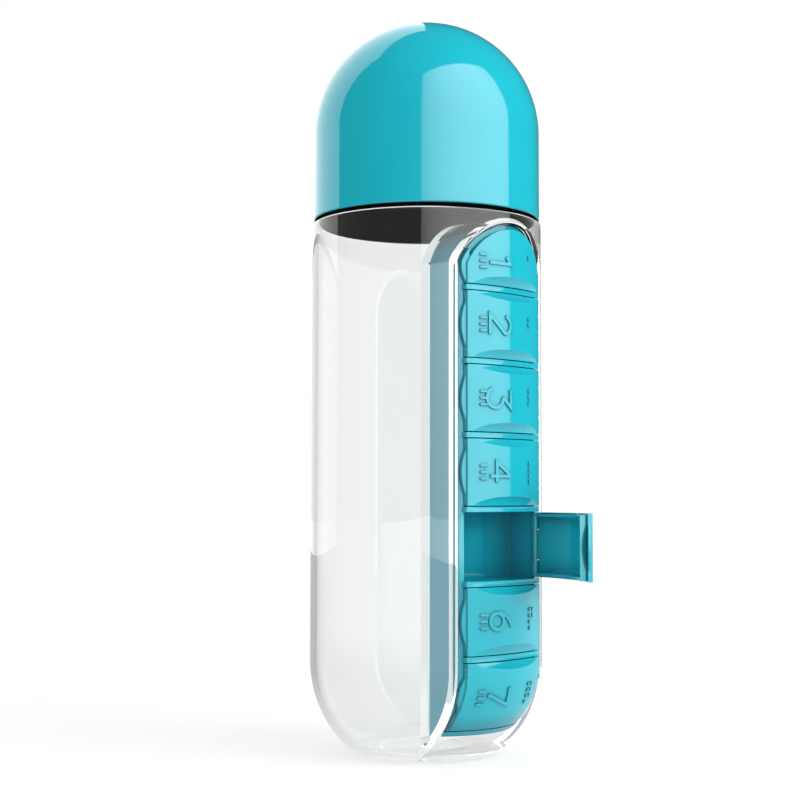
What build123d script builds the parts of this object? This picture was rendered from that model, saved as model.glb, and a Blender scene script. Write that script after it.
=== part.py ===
from build123d import *
import os
from math import asin, cos, pi, sin, sqrt

os.makedirs("parts", exist_ok=True)

# Frame: +Z up, origin on the bottle's axis in the plane it stands on.
# The pill strip faces -Y. Its lids hinge on the +X side and open from the -X side.

# Bottle: a clear tube with a round lower end and a flat foot, open at its upper rim
body_radius = 37.5
body_wall = 2.0
dome_centre_z = 29.5
foot_rolling_radius = 12.0
foot_recess_radius = 15.0
foot_recess_depth = 2.4
foot_recess_middle_share = 0.8
body_rim_z = 171.0
body_rim_round = 0.6

# Collar: a black flange welded on the bottle's rim, with the threaded neck
collar_thickness = 1.0
collar_inset = 0.6
collar_edge_round = 0.3
neck_wall = 2.4
neck_height = 11.0

# Thread shared by the neck and the cap
thread_pitch = 4.2
thread_depth = 1.1
thread_base_width = 2.2
thread_crest_width = 1.0
thread_turns = 1.5
thread_start = 3.3
thread_root_bite = 0.3
thread_play = 0.35

# Cap: a domed shell over a black threaded liner, with a sealing ring
cap_inset = 0.5
cap_wall = 2.2
cap_straight = 28.4
cap_rim_round = 0.5
cap_rim_gap = 0.3
liner_rim_lift = 0.2
liner_wall = 2.2
liner_skirt_gap = 1.05
liner_snug_height = 4.4
liner_plate = 2.0
liner_fit = 0.1
gasket_thickness = 1.8
gasket_edge = 0.1

# Pill strip: seven boxes in one moulding, with an arched top end
strip_half_width = 18.2
strip_depth_inner = 19.7
strip_bottom_z = 9.0
strip_arch_centre_z = 147.4
strip_arch_bulge = 1.2
strip_side_wall = 1.6
strip_back_wall = 1.5
strip_end_wall = 1.6
box_count = 7
divider_pitch = 22.7
divider_thickness = 1.6
divider_top_z = 147.2
divider_inset = 1.0
curl_edge_radius = 25.0
rest_depth = 1.7

# Channel in the bottle that holds the strip
channel_gap = 0.35
channel_wall = 2.0
channel_lip_round = 1.2
channel_toe_drop = 1.165
snap_bead = 0.25
snap_bead_radius = 1.2
snap_bead_low_z = 26.0
snap_depth = 28.0
mouth_tolerance = 0.02
mouth_edge_samples = (0.1, 0.5, 0.9)

# Lids
lid_side_inset = 1.3
lid_arch_inset = 1.4
lid_thickness = 1.5
lid_gap = 0.3
open_lid = 5
lid_open_angle = 67.5
rim_thickness = 1.0
rim_height = 2.4
rim_gap = 0.4
rim_hinge_setback = 3.0
rim_back_gap = 0.6
last_rim_floor_z = 21.5
tab_reach = 1.3
tab_recess = 0.5
tab_length = 14.1
end_tab_length = 10.2
first_tab_z = 153.0
last_tab_z = 22.8
tab_thickness = 0.9
tab_root = 1.0

# Hinges: a pin through two strip knuckles and one lid knuckle
pin_radius = 0.5
pin_fit = 0.06
knuckle_radius = 1.25
knuckle_gap = 0.25
knuckle_clearance = 0.3
knuckle_share = 0.46
first_hinge_top_z = 154.0
last_hinge_bottom_z = 24.5

# Finger scoops that straddle each divider
scoop_depth = 1.6
scoop_half_height = 3.7
scoop_end_land = 1.4
scoop_rise = 0.25
scoop_wall = 1.2

# Raised marks on the lids: a numeral, a row of ticks and counting dots
mark_height = 0.45
mark_stroke = 1.05
numeral_height = 8.2
numeral_width = 6.0
numeral_edge_offset = 11.1
tick_edge_offset = 4.8
tick_length = 2.4
tick_width = 0.7
tick_pitch = 2.0
tick_count = 3
dot_radius = 0.55
dot_pitch = 1.9
dot_edge_offset = 8.7
dots_per_column = 4
first_mark_z = 154.6
last_mark_z = 21.2

# Numeral shapes: points in shares of half a numeral's width and height, right and up
numeral_lines = {
    1: [[(-0.6, 0.6), (0.1, 1), (0.1, -1)]],
    2: [[(0.9, 0.45), (-1, -1), (1, -1)]],
    3: [[(-0.9, 1), (0.9, 1), (-0.1, 0.2)]],
    4: [[(0.4, -1), (0.4, 1)], [(0.4, 1), (-1, -0.4), (1, -0.4)]],
    5: [[(0.8, 1), (-0.7, 1), (-0.85, 0.1)]],
    7: [[(-0.9, 1), (0.9, 1), (-0.3, -1)]],
}
numeral_arcs = {
    2: [(-0.9, 0.5), (0, 1), (0.9, 0.45)],
    3: [(-0.1, 0.2), (0.95, -0.45), (-1, -0.75)],
    5: [(-0.85, 0.1), (1, -0.35), (-1, -0.8)],
    6: [(0.6, 1), (-0.5, 0.45), (-0.82, -0.4)],
}
numeral_bowls = {6: 0.6}

# Places that follow from the sizes above
reach = 3 * body_radius
height_span = 2 * (body_rim_z + body_radius)
collar_top_z = body_rim_z + collar_thickness
neck_top_z = collar_top_z + neck_height
cap_rim_z = collar_top_z + cap_rim_gap
cap_radius = body_radius - cap_inset
cap_inner_radius = cap_radius - cap_wall
liner_bottom_z = cap_rim_z + liner_rim_lift
liner_outer_radius = cap_inner_radius - liner_fit
liner_bore = liner_outer_radius - liner_skirt_gap - liner_wall
neck_root_radius = liner_bore - thread_play - thread_depth
neck_bore = neck_root_radius - neck_wall
collar_radius = body_radius - collar_inset
foot_meet_drop = dome_centre_z - foot_rolling_radius
foot_meet_angle = asin(foot_meet_drop / (body_radius - foot_rolling_radius))
channel_toe_z = dome_centre_z - body_radius * sin(foot_meet_angle) - channel_toe_drop
strip_arch_radius = strip_half_width + strip_arch_bulge
divider_half_width = strip_half_width - divider_inset
lid_half_width = strip_half_width - lid_side_inset
lid_arch_radius = strip_arch_radius - lid_arch_inset
scoop_half_width = lid_half_width - scoop_end_land
gasket_top_z = neck_top_z + gasket_thickness
edge_depth = sqrt(body_radius**2 - lid_half_width**2)
curl_axis_depth = edge_depth - curl_edge_radius
divider_tops = [divider_top_z - k * divider_pitch for k in range(box_count - 1)]


def level_band(low, high):
    return Pos(0, 0, (low + high) / 2) * Box(2 * reach, 2 * reach, high - low)


def side_half_space(depth):
    """Box of everything further forward than a depth, on the strip's side."""
    return Pos(0, -depth - reach / 2, body_rim_z / 2) * Box(2 * reach, reach, height_span)


def arch_prism(half_width, arch_radius):
    """Front outline of the strip, with its arched top, run through in Y."""
    column = Pos(0, 0, strip_arch_centre_z - height_span / 2) * Box(2 * half_width, 2 * reach, height_span)
    disc = Pos(0, 0, strip_arch_centre_z) * Rot(90, 0, 0) * Cylinder(arch_radius, 2 * reach)
    slab = Pos(0, 0, strip_arch_centre_z) * Box(2 * half_width, 2 * reach, 2 * arch_radius)
    return column + (disc & slab)


def strip_skin(inset):
    """Solid behind the strip's outer face: round above, curled in under the dome."""
    radius = body_radius - inset
    upper = Pos(0, 0, dome_centre_z + height_span / 2) * Cylinder(radius, height_span)
    half = strip_half_width + 2 * tab_reach
    left_end = (-half, -sqrt(radius**2 - half**2))
    right_end = (half, -sqrt(radius**2 - half**2))
    arc = ThreePointArc(left_end, (0, -radius), right_end)
    sides = Polyline(right_end, (half, -curl_axis_depth), (-half, -curl_axis_depth), left_end)
    plan = Pos(0, 0, dome_centre_z) * make_face(Curve() + [arc, sides])
    curl_axis = Axis((0, -curl_axis_depth, dome_centre_z), (1, 0, 0))
    return upper + revolve(plan, curl_axis, 90)


skin = strip_skin(0)
rest_skin = strip_skin(rest_depth)
under_lid_skin = strip_skin(lid_thickness)


def channel_side(grow):
    """Side outline of the channel, run through in X; grow moves it into the bottle."""
    back = strip_depth_inner - channel_gap - grow
    toe_z = channel_toe_z - grow
    heel_z = strip_bottom_z - channel_gap - grow
    toe = back - (heel_z - toe_z)
    points = [(-back, height_span), (-back, heel_z), (-toe, toe_z), (-reach, toe_z), (-reach, height_span)]
    outline = Plane.YZ * make_face(Polyline(points + points[:1]))
    return extrude(outline, strip_half_width + channel_gap + grow, both=True)


def channel(grow):
    return channel_side(grow) & arch_prism(
        strip_half_width + channel_gap + grow, strip_arch_radius + channel_gap + grow
    )


def bottle_shell_profile(wall):
    """Half section of the bottle: wall 0 is the outside, more is the inside of that wall."""
    radius = body_radius - wall
    foot_z = wall
    rolling = foot_rolling_radius - wall
    foot_radius = sqrt((body_radius - foot_rolling_radius) ** 2 - foot_meet_drop**2)
    meet = (radius * cos(foot_meet_angle), dome_centre_z - radius * sin(foot_meet_angle))
    middle_angle = (pi / 2 + foot_meet_angle) / 2
    foot_middle = (
        foot_radius + rolling * cos(middle_angle),
        foot_rolling_radius - rolling * sin(middle_angle),
    )
    dome_middle = (
        radius * cos(foot_meet_angle / 2),
        dome_centre_z - radius * sin(foot_meet_angle / 2),
    )
    return radius, foot_z, foot_radius, meet, foot_middle, dome_middle


def recess_arc(foot_z):
    middle = (foot_recess_radius / 2, foot_z + foot_recess_depth * foot_recess_middle_share)
    return ThreePointArc((0, foot_z + foot_recess_depth), middle, (foot_recess_radius, foot_z))


def revolved(lines):
    return revolve(make_face(Plane.XZ * (Curve() + lines)), Axis.Z, 360)


def bottle_outside():
    radius, foot_z, foot_radius, meet, foot_middle, dome_middle = bottle_shell_profile(0)
    corner = radius - body_rim_round
    return revolved([
        recess_arc(foot_z),
        Line((foot_recess_radius, foot_z), (foot_radius, foot_z)),
        ThreePointArc((foot_radius, foot_z), foot_middle, meet),
        ThreePointArc(meet, dome_middle, (radius, dome_centre_z)),
        Line((radius, dome_centre_z), (radius, body_rim_z - body_rim_round)),
        RadiusArc((radius, body_rim_z - body_rim_round), (corner, body_rim_z), -body_rim_round),
        Polyline((corner, body_rim_z), (0, body_rim_z), (0, foot_z + foot_recess_depth)),
    ])


def bottle_inside():
    radius, foot_z, foot_radius, meet, foot_middle, dome_middle = bottle_shell_profile(body_wall)
    above = body_rim_z + body_wall
    return revolved([
        recess_arc(foot_z),
        Line((foot_recess_radius, foot_z), (foot_radius, foot_z)),
        ThreePointArc((foot_radius, foot_z), foot_middle, meet),
        ThreePointArc(meet, dome_middle, (radius, dome_centre_z)),
        Polyline((radius, dome_centre_z), (radius, above), (0, above), (0, foot_z + foot_recess_depth)),
    ])


def thread_ridge(root_radius, outward, turns, start_z, base_width, crest_width):
    """Helical ridge on a root radius; outward is 1 for the neck and -1 for the liner."""
    height = turns * thread_pitch
    path = Helix(thread_pitch, height, root_radius)
    foot = root_radius - outward * thread_root_bite
    crest = root_radius + outward * thread_depth
    half_base = base_width / 2
    half_crest = crest_width / 2
    section = make_face(Plane.XZ * Polyline(
        (foot, -half_base), (crest, -half_crest), (crest, half_crest), (foot, half_base), (foot, -half_base)
    ))
    return Pos(0, 0, start_z) * sweep(section, path, is_frenet=True)


def on_outer_face(edge):
    """True for an edge that lies on the bottle's outer skin at the channel's mouth."""
    for share in mouth_edge_samples:
        point = edge @ share
        drop = max(dome_centre_z - point.Z, 0)
        if abs(sqrt(point.X**2 + point.Y**2 + drop**2) - body_radius) > mouth_tolerance:
            return False
        if point.Y > -strip_depth_inner + 2 * channel_wall:
            return False
    return abs(edge.center().X) < strip_half_width + 2 * channel_gap


def bottle_body():
    shell = bottle_outside() - channel(0)
    mouth = [edge for edge in shell.edges() if on_outer_face(edge)]
    shell = fillet(mouth, channel_lip_round)
    return shell - (bottle_inside() - channel(channel_wall))


def neck_collar():
    flange = ring(collar_radius, neck_bore, body_rim_z, collar_top_z)
    outer_edges = flange.edges().filter_by(GeomType.CIRCLE).sort_by(SortBy.RADIUS)[-2:]
    neck = ring(neck_root_radius, neck_bore, collar_top_z, neck_top_z)
    thread = thread_ridge(
        neck_root_radius, 1, thread_turns, collar_top_z + thread_start, thread_base_width, thread_crest_width
    )
    return fillet(outer_edges, collar_edge_round) + neck + thread


def dome_cap():
    centre_z = cap_rim_z + cap_straight

    def capsule(radius):
        column = Pos(0, 0, (cap_rim_z + centre_z) / 2) * Cylinder(radius, cap_straight)
        dome = Pos(0, 0, centre_z) * Sphere(radius)
        return column + (dome & (Pos(0, 0, centre_z + radius / 2) * Cylinder(2 * radius, radius)))

    outer = capsule(cap_radius)
    rim = outer.edges().filter_by(GeomType.CIRCLE).sort_by(Axis.Z)[0]
    return fillet(rim, cap_rim_round) - capsule(cap_inner_radius)


def ring(outer_radius, inner_radius, bottom_z, top_z):
    middle_z = (bottom_z + top_z) / 2
    height = top_z - bottom_z
    return Pos(0, 0, middle_z) * (Cylinder(outer_radius, height) - Cylinder(inner_radius, height))


def cap_liner():
    plate_top_z = gasket_top_z + liner_plate
    snug_band = ring(liner_outer_radius, liner_bore, liner_bottom_z, liner_bottom_z + liner_snug_height)
    skirt = ring(liner_bore + liner_wall, liner_bore, liner_bottom_z, plate_top_z)
    plate = Pos(0, 0, gasket_top_z + liner_plate / 2) * Cylinder(liner_bore + liner_wall, liner_plate)
    ridge = thread_ridge(
        liner_bore, -1, thread_turns, collar_top_z + thread_start - thread_pitch / 2,
        thread_base_width, thread_crest_width,
    )
    return snug_band + skirt + plate + ridge


def cap_gasket():
    return ring(neck_root_radius - gasket_edge, neck_bore + gasket_edge, neck_top_z, gasket_top_z)


def box_span(index):
    """Lower and upper end of one box, between its dividers."""
    low = strip_bottom_z + strip_end_wall if index == box_count - 1 else divider_tops[index]
    high = height_span if index == 0 else divider_tops[index - 1] - divider_thickness
    return low, high


def scoop(index, wall):
    """Round hollow across one divider; wall thickens it for the backing inside a lid."""
    centre_z = divider_tops[index] - divider_thickness / 2 + scoop_rise
    minor = (scoop_half_height**2 + scoop_depth**2) / (2 * scoop_depth)
    floor_depth = body_radius - scoop_depth
    edge = sqrt(body_radius**2 - scoop_half_width**2)
    plan_radius = (scoop_half_width**2 + (floor_depth - edge) ** 2) / (2 * (floor_depth - edge))
    centre_depth = floor_depth - plan_radius
    return Pos(0, -centre_depth, centre_z) * Torus(plan_radius + minor, minor + wall)


def hinge_place(z):
    depth = sqrt((body_radius - knuckle_radius) ** 2 - lid_half_width**2)
    return Pos(lid_half_width, -depth, z)


def hinge_span(index):
    low, high = box_span(index)
    low = last_hinge_bottom_z if index == box_count - 1 else low
    high = first_hinge_top_z if index == 0 else high
    return low + lid_gap, high - lid_gap


def lid_knuckle_span(index):
    low, high = hinge_span(index)
    margin = (1 - knuckle_share) / 2 * (high - low)
    return low + margin, high - margin


def barrel(radius, low, high):
    return hinge_place((low + high) / 2) * Cylinder(radius, high - low)


def tray_knuckle_spans(index):
    low, high = hinge_span(index)
    knuckle_low, knuckle_high = lid_knuckle_span(index)
    return [(low, knuckle_low - knuckle_gap), (knuckle_high + knuckle_gap, high)]


def pill_tray():
    outline = arch_prism(strip_half_width, strip_arch_radius)
    block = outline & side_half_space(strip_depth_inner) & level_band(strip_bottom_z, height_span)
    tray = block & rest_skin
    bore = arch_prism(strip_half_width - strip_side_wall, strip_arch_radius - strip_side_wall)
    bore = bore & side_half_space(strip_depth_inner + strip_back_wall)
    for index in range(box_count):
        tray -= bore & level_band(*box_span(index))
    end_wall = block & skin & level_band(strip_bottom_z, strip_bottom_z + strip_end_wall)
    tray += end_wall
    for top_z in divider_tops:
        middle_z = top_z - divider_thickness / 2
        rib = Pos(0, 0, middle_z) * Box(2 * divider_half_width, 2 * reach, divider_thickness)
        tray += rib & side_half_space(strip_depth_inner) & skin
    for index in range(box_count):
        low, high = lid_knuckle_span(index)
        tray -= barrel(knuckle_radius + knuckle_clearance, low - knuckle_gap, high + knuckle_gap)
        for span in tray_knuckle_spans(index):
            tray += barrel(knuckle_radius, *span)
        tray -= barrel(pin_radius, *hinge_span(index))
    for index in range(box_count - 1):
        tray -= scoop(index, 0)
    bead_high_z = divider_tops[0]
    bead_centre_x = strip_half_width + snap_bead - snap_bead_radius
    for side in (-1, 1):
        place = Pos(side * bead_centre_x, -snap_depth, (snap_bead_low_z + bead_high_z) / 2)
        bead = place * Cylinder(snap_bead_radius, bead_high_z - snap_bead_low_z)
        outer_side = Pos(side * (reach / 2 + strip_half_width - strip_side_wall / 2), 0, 0) * Box(
            reach, 2 * reach, height_span
        )
        tray += bead & outer_side
    return tray


def tab_place(index):
    if index == 0:
        return first_tab_z, end_tab_length
    if index == box_count - 1:
        return last_tab_z, end_tab_length
    low, high = box_span(index)
    return (low + high) / 2, tab_length


def mark_z(index):
    if index == 0:
        return first_mark_z
    if index == box_count - 1:
        return last_mark_z
    low, high = box_span(index)
    return (low + high) / 2


def numeral_strokes(number):
    def placed(points):
        return [(x * numeral_width / 2, y * numeral_height / 2) for x, y in points]

    strokes = [Polyline(placed(points)) for points in numeral_lines.get(number, [])]
    if number in numeral_arcs:
        strokes.append(ThreePointArc(placed(numeral_arcs[number])))
    if number in numeral_bowls:
        bowl = numeral_bowls[number] * numeral_height / 2
        strokes.append(Pos(0, bowl - numeral_height / 2) * Edge.make_circle(bowl))
    return strokes


def lid_marks(index):
    """Raised numeral, ticks and dots, read with the bottle lying on its side."""
    centre_z = mark_z(index)
    faces = []
    for stroke in numeral_strokes(index + 1):
        faces.append(Pos(0, numeral_edge_offset - lid_half_width) * trace(stroke, mark_stroke))
    for tick in range(tick_count):
        offset = (tick - (tick_count - 1) / 2) * tick_pitch
        faces.append(Pos(offset, tick_edge_offset - lid_half_width) * Rectangle(tick_width, tick_length))
    sheet = Plane(origin=(0, 0, centre_z), x_dir=(0, 0, -1), z_dir=(0, -1, 0))
    band = strip_skin(-mark_height) - strip_skin(lid_thickness / 2)
    marks = Part()
    for face in faces:
        marks += extrude(sheet * face, reach)
    for dot in range(index + 1):
        column, row = divmod(dot, dots_per_column)
        along = (row - (dots_per_column - 1) / 2) * dot_pitch
        across = lid_half_width - dot_edge_offset + column * dot_pitch
        marks += sheet * Pos(along, across, reach / 2) * Cylinder(dot_radius, reach)
    return marks & band


def lid(index):
    low, high = box_span(index)
    low += lid_gap
    high -= lid_gap
    outline = arch_prism(lid_half_width, lid_arch_radius) & level_band(low, high)
    front = side_half_space(strip_depth_inner)
    leaf = (skin - under_lid_skin) & outline & front
    backing = Part()
    if index > 0:
        backing += scoop(index - 1, scoop_wall)
    if index < box_count - 1:
        backing += scoop(index, scoop_wall)
    leaf += backing & outline & skin
    rim_half = strip_half_width - strip_side_wall - rim_gap
    rim_arch = strip_arch_radius - strip_side_wall - rim_gap
    rim_low = last_rim_floor_z if index == box_count - 1 else low + rim_gap
    rim_high = high - rim_gap
    rim = arch_prism(rim_half, rim_arch) & level_band(rim_low, rim_high)
    inner_low = rim_low - rim_height if index == box_count - 1 else rim_low + rim_thickness
    rim -= arch_prism(rim_half - rim_thickness, rim_arch - rim_thickness) & level_band(
        inner_low, rim_high - rim_thickness
    )
    rim = rim & (under_lid_skin - strip_skin(lid_thickness + rim_height))
    rim = rim & side_half_space(strip_depth_inner + strip_back_wall + rim_back_gap)
    rim = rim & (Pos(lid_half_width - rim_hinge_setback - reach, 0, body_rim_z / 2) * Box(
        2 * reach, 2 * reach, height_span
    ))
    leaf += rim
    tab_z, length = tab_place(index)
    tab_radius = ((length / 2) ** 2 + tab_reach**2) / (2 * tab_reach)
    tab_centre_x = tab_radius - tab_reach - lid_half_width
    tab = Pos(tab_centre_x, 0, tab_z) * Rot(90, 0, 0) * Cylinder(tab_radius, 2 * reach)
    tab_root_x = tab_root - lid_half_width
    tab = tab & (Pos(tab_root_x - reach, 0, tab_z) * Box(2 * reach, 2 * reach, 2 * tab_length))
    tab = tab & arch_prism(lid_half_width + tab_reach, strip_arch_radius)
    tab_skin = strip_skin(tab_recess) - strip_skin(tab_recess + tab_thickness)
    leaf += tab & tab_skin & front & level_band(low, high)
    for knuckle_low, knuckle_high in tray_knuckle_spans(index):
        notch_span = (knuckle_low - knuckle_gap, knuckle_high + knuckle_gap)
        leaf -= barrel(knuckle_radius + knuckle_clearance, *notch_span)
    leaf += barrel(knuckle_radius, *lid_knuckle_span(index))
    leaf -= barrel(pin_radius + pin_fit, low, high)
    if index > 0:
        leaf -= scoop(index - 1, 0)
    if index < box_count - 1:
        leaf -= scoop(index, 0)
    return leaf + lid_marks(index)


def hinge_pin(index):
    return barrel(pin_radius, *hinge_span(index))


def opened(shape, angle):
    axis_place = hinge_place(0).position
    return shape.rotate(Axis(axis_place, (0, 0, 1)), angle)


nodes = {
    "bottle_body": bottle_body(),
    "neck_collar": neck_collar(),
    "dome_cap": dome_cap(),
    "cap_liner": cap_liner(),
    "cap_gasket": cap_gasket(),
    "pill_tray": pill_tray(),
}
for index in range(box_count):
    piece = lid(index)
    if index + 1 == open_lid:
        piece = opened(piece, lid_open_angle)
    nodes[f"lid_{index + 1}"] = piece
    nodes[f"hinge_pin_{index + 1}"] = hinge_pin(index)

for name, shape in nodes.items():
    export_step(shape, f"parts/{name}.step")
    print(name, round(shape.volume, 1), "mm3")
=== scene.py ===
import math
import bmesh
import bpy
from mathutils import Matrix, Vector

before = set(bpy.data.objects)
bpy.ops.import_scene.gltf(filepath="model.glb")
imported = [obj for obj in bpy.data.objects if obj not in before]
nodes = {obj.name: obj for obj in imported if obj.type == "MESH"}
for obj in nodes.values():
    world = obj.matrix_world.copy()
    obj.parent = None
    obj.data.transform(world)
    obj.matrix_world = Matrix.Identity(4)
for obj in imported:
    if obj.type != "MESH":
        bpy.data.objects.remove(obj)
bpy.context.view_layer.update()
scene = bpy.context.scene
boxCount = 7
print("frame loaded:", len(nodes), "nodes")


# Camera: the photo's own place and lens, looking slightly up from low down

cameraValues = {
    "distance": 0.5056,  # from the bottle's axis
    "height": 0.0830,
    "azimuth": -46.46,
    "yaw": -0.971,  # turned off the axis
    "pitch": 3.473,
    "roll": 0.112,
    "lens": 69.58,
    "film": 36,
}


def aroundBottle(azimuth, distance, height):
    # azimuth 0 is straight in front of the pill strip, and grows towards the hinge side
    turn = math.radians(azimuth)
    return Vector((math.sin(turn) * distance, -math.cos(turn) * distance, height))


def makeCamera(values):
    cameraData = bpy.data.cameras.new("camera")
    cameraData.lens = values["lens"]
    cameraData.sensor_width = values["film"]
    camera = bpy.data.objects.new("camera", cameraData)
    scene.collection.objects.link(camera)
    place = aroundBottle(values["azimuth"], values["distance"], values["height"])
    heading = math.radians(values["azimuth"] - values["yaw"])
    turned = (
        Matrix.Rotation(heading, 4, "Z")
        @ Matrix.Rotation(math.radians(90 + values["pitch"]), 4, "X")
        @ Matrix.Rotation(math.radians(values["roll"]), 4, "Z")
    )
    camera.matrix_world = Matrix.Translation(place) @ turned
    scene.camera = camera


makeCamera(cameraValues)
print("camera placed")


# Node helpers, for the materials, the floor, the world and the lamps

def startMaterial(name):
    material = bpy.data.materials.new(name)
    material.use_nodes = True
    tree = material.node_tree
    return material, tree, tree.nodes["Principled BSDF"]


def addNode(tree, kind, **settings):
    node = tree.nodes.new(kind)
    for key, value in settings.items():
        if key in node.inputs:
            node.inputs[key].default_value = value
        else:
            setattr(node, key, value)
    return node


def setInput(tree, place, value):
    # value is a number or a colour, or the socket that carries one
    if isinstance(value, (int, float, tuple)):
        place.default_value = value
    else:
        tree.links.new(value, place)


def addMath(tree, operation, first, second):
    node = addNode(tree, "ShaderNodeMath", operation=operation)
    setInput(tree, node.inputs[0], first)
    setInput(tree, node.inputs[1], second)
    return node.outputs[0]


def addRange(tree, value, before, after, kind="LINEAR"):
    spread = addNode(tree, "ShaderNodeMapRange", interpolation_type=kind)
    for label, (low, high) in (("From", before), ("To", after)):
        spread.inputs[f"{label} Min"].default_value = low
        spread.inputs[f"{label} Max"].default_value = high
    tree.links.new(value, spread.inputs["Value"])
    return spread.outputs["Result"]


def mixNumbers(tree, factor, low, high):
    mix = addNode(tree, "ShaderNodeMix")
    tree.links.new(factor, mix.inputs["Factor"])
    setInput(tree, mix.inputs["A"], low)
    setInput(tree, mix.inputs["B"], high)
    return mix.outputs["Result"]


def mixColours(tree, factor, low, high):
    mix = addNode(tree, "ShaderNodeMix", data_type="RGBA")
    tree.links.new(factor, mix.inputs["Factor"])
    places = [socket for socket in mix.inputs if socket.type == "RGBA"]
    setInput(tree, places[0], low)
    setInput(tree, places[1], high)
    return [socket for socket in mix.outputs if socket.type == "RGBA"][0]


def mixShaders(tree, factor, low, high):
    mix = addNode(tree, "ShaderNodeMixShader")
    for place, value in zip(mix.inputs, (factor, low.outputs[0], high.outputs[0])):
        tree.links.new(value, place)
    return mix


def objectNoise(tree, scale, detail=2.0, stretch=(1, 1, 1)):
    place = addNode(tree, "ShaderNodeTexCoord")
    mapping = addNode(tree, "ShaderNodeMapping", Scale=stretch)
    noise = addNode(tree, "ShaderNodeTexNoise", Scale=scale, Detail=detail)
    tree.links.new(place.outputs["Object"], mapping.inputs["Vector"])
    tree.links.new(mapping.outputs["Vector"], noise.inputs["Vector"])
    return noise.outputs["Fac"]


def addBump(tree, shader, noise, strength, depth, edge=None):
    bump = addNode(tree, "ShaderNodeBump", Strength=strength, Distance=depth)
    tree.links.new(noise, bump.inputs["Height"])
    if edge:  # a moulded edge is never quite sharp
        soft = addNode(tree, "ShaderNodeBevel", samples=6, Radius=edge)
        tree.links.new(soft.outputs["Normal"], bump.inputs["Normal"])
    tree.links.new(bump.outputs["Normal"], shader.inputs["Normal"])


def addRoughness(tree, shader, noise, limits):
    tree.links.new(addRange(tree, noise, (0, 1), limits), shader.inputs["Roughness"])


def addColours(tree, shader, noise, values):
    colour = mixColours(tree, noise, values["low"], values["high"])
    tree.links.new(colour, shader.inputs["Base Color"])


# Teal plastic of the dome, the lids and the strip, with painted shade in its gaps

tealValues = {
    "low": (0.012, 0.50, 0.62, 1),
    "high": (0.016, 0.54, 0.66, 1),
    "cloudScale": 30,
    "paintedShade": (0.003, 0.12, 0.165, 1),  # painted shade, down in gaps and under the lids
    "paintedShadeTray": (0.006, 0.27, 0.36, 1),  # lighter painted shade on the strip, also behind the clear wall
    "paintedShadeReach": 0.016,
    "paintedShadePower": 1.7,
    "roughness": (0.05, 0.09),
    "wearScale": 220,
    "ior": 1.5,
    "waveScale": 45,
    "waveStrength": 0.3,
    "waveDepth": 0.00004,
    "edge": 0.00028,
}


def makeTeal(name, values, paintedShade):
    material, tree, shader = startMaterial(name)
    cloud = objectNoise(tree, values["cloudScale"])
    openColour = mixColours(tree, cloud, values["low"], values["high"])
    # painted shade: ambient occlusion darkens the colour in gaps, in the boxes and under the lids
    shelter = addNode(tree, "ShaderNodeAmbientOcclusion", samples=12, Distance=values["paintedShadeReach"])
    openness = addMath(tree, "POWER", shelter.outputs["AO"], values["paintedShadePower"])
    colour = mixColours(tree, openness, values[paintedShade], openColour)
    tree.links.new(colour, shader.inputs["Base Color"])
    addRoughness(tree, shader, objectNoise(tree, values["wearScale"], 4), values["roughness"])
    shader.inputs["IOR"].default_value = values["ior"]
    wave = objectNoise(tree, values["waveScale"])
    addBump(tree, shader, wave, values["waveStrength"], values["waveDepth"], values["edge"])
    return material


# Clear plastic of the bottle

clearValues = {
    "tint": (0.985, 0.992, 0.99, 1),
    "roughness": 0.0,
    "ior": 1.49,
    "waveScale": 28,
    "waveStrength": 0.3,
    "waveDepth": 0.00002,
    "absorbed": 8,  # density of the absorption, for each metre of plastic
    "absorbedTint": (0.04, 0.10, 0.09, 1),
    "trappedAfter": 4,  # bounces, past which light goes straight on and counts as clear
    "trappedTint": (0.94, 0.96, 0.96, 1),
}


def makeClear(name, values):
    material, tree, shader = startMaterial(name)
    shader.inputs["Base Color"].default_value = values["tint"]
    shader.inputs["Roughness"].default_value = values["roughness"]
    shader.inputs["IOR"].default_value = values["ior"]
    shader.inputs["Transmission Weight"].default_value = 1
    wave = objectNoise(tree, values["waveScale"], 1)
    addBump(tree, shader, wave, values["waveStrength"], values["waveDepth"])
    path = addNode(tree, "ShaderNodeLightPath")
    trapped = addMath(tree, "GREATER_THAN", path.outputs["Ray Depth"], values["trappedAfter"])
    straight = addNode(tree, "ShaderNodeBsdfTransparent", Color=values["trappedTint"])
    choice = mixShaders(tree, trapped, shader, straight)
    depth = addNode(
        tree, "ShaderNodeVolumeAbsorption", Density=values["absorbed"], Color=values["absorbedTint"]
    )
    output = tree.nodes["Material Output"]
    tree.links.new(choice.outputs[0], output.inputs["Surface"])
    tree.links.new(depth.outputs[0], output.inputs["Volume"])
    return material


# Black plastic of the collar and the cap's liner

blackValues = {
    "low": (0.0015, 0.0015, 0.0018, 1),
    "high": (0.003, 0.003, 0.0033, 1),
    "cloudScale": 60,
    "roughness": (0.3, 0.4),
    "gloss": 0.0,
    "grainScale": 900,
    "grainStrength": 0.2,
    "grainDepth": 0.00002,
}


def makeBlack(name, values):
    material, tree, shader = startMaterial(name)
    addColours(tree, shader, objectNoise(tree, values["cloudScale"]), values)
    grain = objectNoise(tree, values["grainScale"], 3)
    addRoughness(tree, shader, grain, values["roughness"])
    shader.inputs["Specular IOR Level"].default_value = values["gloss"]
    addBump(tree, shader, grain, values["grainStrength"], values["grainDepth"])
    return material


# Pale silicone of the sealing ring

siliconeValues = {
    "low": (0.55, 0.56, 0.56, 1),
    "high": (0.66, 0.67, 0.67, 1),
    "cloudScale": 80,
    "roughness": 0.55,
    "softness": 0.2,
    "softReach": 0.002,
    "grainScale": 1200,
    "grainStrength": 0.25,
    "grainDepth": 0.00002,
}


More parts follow.
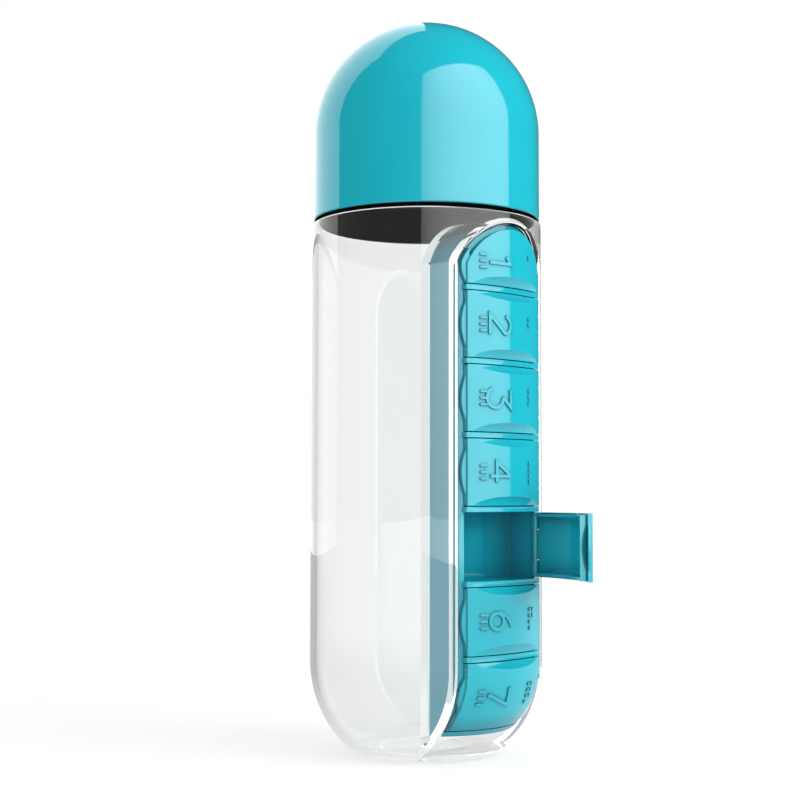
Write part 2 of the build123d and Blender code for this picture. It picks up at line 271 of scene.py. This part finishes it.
def makeSilicone(name, values):
    material, tree, shader = startMaterial(name)
    addColours(tree, shader, objectNoise(tree, values["cloudScale"]), values)
    shader.inputs["Roughness"].default_value = values["roughness"]
    shader.inputs["Subsurface Weight"].default_value = values["softness"]
    shader.inputs["Subsurface Scale"].default_value = values["softReach"]
    grain = objectNoise(tree, values["grainScale"])
    addBump(tree, shader, grain, values["grainStrength"], values["grainDepth"])
    return material


# Steel of the hinge pins, drawn along their length

steelValues = {
    "low": (0.5, 0.5, 0.51, 1),
    "high": (0.66, 0.66, 0.67, 1),
    "lineScale": 1500,
    "lineStretch": (1, 1, 0.02),
    "roughness": (0.2, 0.36),
}


def makeSteel(name, values):
    material, tree, shader = startMaterial(name)
    lines = objectNoise(tree, values["lineScale"], stretch=values["lineStretch"])
    addColours(tree, shader, lines, values)
    shader.inputs["Metallic"].default_value = 1
    addRoughness(tree, shader, lines, values["roughness"])
    return material


teal = makeTeal("tealPlastic", tealValues, "paintedShade")
tealTray = makeTeal("tealPlasticTray", tealValues, "paintedShadeTray")
clear = makeClear("clearPlastic", clearValues)
black = makeBlack("blackPlastic", blackValues)
silicone = makeSilicone("siliconeSeal", siliconeValues)
steel = makeSteel("pinSteel", steelValues)
print("materials made")


# The CAD nodes have their true shape already, and get a finish only

def dress(name, material):
    for place in nodes[name].material_slots:
        place.material = material


dress("bottle_body", clear)
dress("neck_collar", black)
dress("dome_cap", teal)
dress("cap_liner", black)
dress("cap_gasket", silicone)
dress("pill_tray", tealTray)
for number in range(1, boxCount + 1):
    dress(f"lid_{number}", teal)
    dress(f"hinge_pin_{number}", steel)
print("CAD nodes finished")


# Floor, white all round and shaded only near the bottle

floorValues = {
    "size": 8.0,
    "shadedReach": (0.135, 0.45),  # fully shaded up to the first, plain white from the second
    "lit": (0.42, 0.42, 0.42, 1),
    "glow": 0.66,
    "behindClear": 0.62,  # painted shade: the floor's look through the clear shell is mixed towards this grey glow
    "behindShare": 0.5,
    "mirroredFront": 1.25,  # painted reflection: how strongly the floor glows for gloss before the bottle
    "mirroredBehind": 0.42,
    "mirroredReach": 0.2,
    "paint": (0.82, 0.82, 0.82, 1),  # what light that bounces about meets
    "roughness": 0.9,
    "gloss": 0.1,
}
# Ray Depth less Transmission Depth is below this on a straight ray, and the world counts one more
surfaceTurns = 0.5
worldTurns = 1.5


def straightRay(tree, path, turns):
    # 1 for a ray from the camera, also through clear walls, that hasn't been mirrored on the way
    turned = addMath(tree, "SUBTRACT", path.outputs["Ray Depth"], path.outputs["Transmission Depth"])
    straight = addMath(tree, "LESS_THAN", turned, turns)
    seen = addMath(tree, "MAXIMUM", path.outputs["Is Camera Ray"], path.outputs["Is Transmission Ray"])
    late = addMath(tree, "GREATER_THAN", path.outputs["Ray Depth"], clearValues["trappedAfter"])
    return addMath(tree, "MAXIMUM", addMath(tree, "MULTIPLY", straight, seen), late)


def addShadedFloor(tree, path, place, values):
    # what the camera sees: the shadow near the bottle, a painted grey through the clear shell, then
    # white
    shaded = addNode(tree, "ShaderNodeBsdfDiffuse", Color=values["lit"])
    glow = addNode(tree, "ShaderNodeEmission", Strength=values["glow"])
    near = addNode(tree, "ShaderNodeAddShader")
    tree.links.new(shaded.outputs[0], near.inputs[0])
    tree.links.new(glow.outputs[0], near.inputs[1])
    # painted shade: through the clear shell, part of the floor's look is a flat grey glow
    behind = addNode(tree, "ShaderNodeEmission", Strength=values["behindClear"])
    share = addMath(tree, "MULTIPLY", path.outputs["Is Transmission Ray"], values["behindShare"])
    reach = addNode(tree, "ShaderNodeVectorMath", operation="LENGTH")
    tree.links.new(place, reach.inputs[0])
    fade = addRange(tree, reach.outputs["Value"], values["shadedReach"], (0, 1), "SMOOTHSTEP")
    white = addNode(tree, "ShaderNodeEmission", Strength=1)
    return mixShaders(tree, fade, mixShaders(tree, share, near, behind), white)


def addMirroredFloor(tree, place, values):
    # painted reflection: for gloss the floor glows, brighter before the bottle than behind it
    side = addNode(tree, "ShaderNodeSeparateXYZ")
    tree.links.new(place, side.inputs[0])
    reach = (-values["mirroredReach"], values["mirroredReach"])
    levels = (values["mirroredFront"], values["mirroredBehind"])
    strength = addRange(tree, side.outputs["Y"], reach, levels, "SMOOTHSTEP")
    mirror = addNode(tree, "ShaderNodeEmission")
    tree.links.new(strength, mirror.inputs["Strength"])
    return mirror


def makeFloorMaterial(name, values):
    material, tree, shader = startMaterial(name)
    shader.inputs["Base Color"].default_value = values["paint"]
    shader.inputs["Roughness"].default_value = values["roughness"]
    shader.inputs["Specular IOR Level"].default_value = values["gloss"]
    path = addNode(tree, "ShaderNodeLightPath")
    place = addNode(tree, "ShaderNodeTexCoord").outputs["Object"]
    mirror = addMirroredFloor(tree, place, values)
    unseen = mixShaders(tree, path.outputs["Is Glossy Ray"], shader, mirror)
    seen = addShadedFloor(tree, path, place, values)
    choice = mixShaders(tree, straightRay(tree, path, surfaceTurns), unseen, seen)
    tree.links.new(choice.outputs[0], tree.nodes["Material Output"].inputs["Surface"])
    return material


def makeFloor(values):
    form = bmesh.new()
    bmesh.ops.create_grid(form, x_segments=1, y_segments=1, size=values["size"] / 2)
    mesh = bpy.data.meshes.new("floor")
    form.to_mesh(mesh)
    form.free()
    floor = bpy.data.objects.new("floor", mesh)
    scene.collection.objects.link(floor)
    mesh.materials.append(makeFloorMaterial("floorWhite", values))


makeFloor(floorValues)
print("floor laid")


# Light: a tall softbox right of the camera, a pale wall behind on the left, and an even room

worldValues = {
    "room": 0.70,  # what matt surfaces receive
    "mirrored": 0.06,  # what gloss reflects where no lamp stands
    "throughClear": 0.5,  # what reaches a surface through the clear shell
}


def makeWorld(values):
    world = bpy.data.worlds.new("studio")
    scene.world = world
    world.use_nodes = True
    tree = world.node_tree
    shader = tree.nodes["Background"]
    path = addNode(tree, "ShaderNodeLightPath")
    level = mixNumbers(tree, path.outputs["Is Glossy Ray"], values["room"], values["mirrored"])
    level = mixNumbers(tree, path.outputs["Is Transmission Ray"], level, values["throughClear"])
    level = mixNumbers(tree, straightRay(tree, path, worldTurns), level, 1)
    tree.links.new(level, shader.inputs["Strength"])
    shader.inputs["Color"].default_value = (1, 1, 1, 1)


lampValues = {
    "key": {
        "azimuth": -3.96, "distance": 0.9, "height": 0.94, "aim": 0.94,
        "width": 1.96, "length": 1.84, "radiance": 4.8, "lights": "gloss",
        "fall": {"middle": (0.55, 0.7), "sides": 2.0, "foot": 0.3},
    },
    "backWall": {
        "azimuth": 175, "distance": 1.1, "height": 1.55, "aim": 1.55,
        "width": 1.9, "length": 2.4, "radiance": 1.7, "lights": "gloss",
    },
    "backWallFoot": {  # closes the wall down to the floor
        "azimuth": 175, "distance": 1.1, "height": 0.18, "aim": 0.18,
        "width": 1.9, "length": 0.32, "radiance": 1.0, "lights": "gloss",
    },
    "soft": {
        "azimuth": 20, "distance": 0.9, "height": 0.7, "aim": 0.12,
        "width": 0.9, "length": 0.9, "radiance": 2.8, "lights": "matt",
    },
}


def fadeLamp(lampData, fall):
    # a softbox is brightest at its middle and dimmer towards its sides and its foot
    lampData.use_nodes = True
    tree = lampData.node_tree
    place = addNode(tree, "ShaderNodeNewGeometry")
    split = addNode(tree, "ShaderNodeSeparateXYZ")
    tree.links.new(place.outputs["Parametric"], split.inputs[0])
    across = addMath(tree, "SUBTRACT", split.outputs["X"], fall["middle"][0])
    across = addMath(tree, "MULTIPLY", across, across)
    across = addMath(tree, "MULTIPLY", across, fall["sides"])
    lower = (1 - fall["middle"][1], 0)
    low = addRange(tree, split.outputs["Y"], lower, (0, fall["foot"]), "SMOOTHSTEP")
    level = addMath(tree, "SUBTRACT", addMath(tree, "SUBTRACT", 1, across), low)
    tree.links.new(level, tree.nodes["Emission"].inputs["Strength"])


def makeLamp(name, values):
    lampData = bpy.data.lights.new(name, "AREA")
    if "fall" in values:
        fadeLamp(lampData, values["fall"])
    lampData.shape = "RECTANGLE"
    lampData.size = values["width"]
    lampData.size_y = values["length"]
    # the power that gives this radiance over the lamp's whole face
    lampData.energy = values["radiance"] * math.pi * values["width"] * values["length"]
    lamp = bpy.data.objects.new(name, lampData)
    scene.collection.objects.link(lamp)
    lamp.location = aroundBottle(values["azimuth"], values["distance"], values["height"])
    facing = Vector((0, 0, values["aim"])) - lamp.location
    lamp.rotation_mode = "QUATERNION"
    lamp.rotation_quaternion = facing.to_track_quat("-Z", "Y")
    lamp.visible_camera = False
    lamp.visible_transmission = False
    lamp.visible_diffuse = values["lights"] == "matt"
    lamp.visible_glossy = values["lights"] == "gloss"


makeWorld(worldValues)
for lampName, settings in lampValues.items():
    makeLamp(lampName, settings)
scene.view_settings.view_transform = "Standard"
print("lights set")
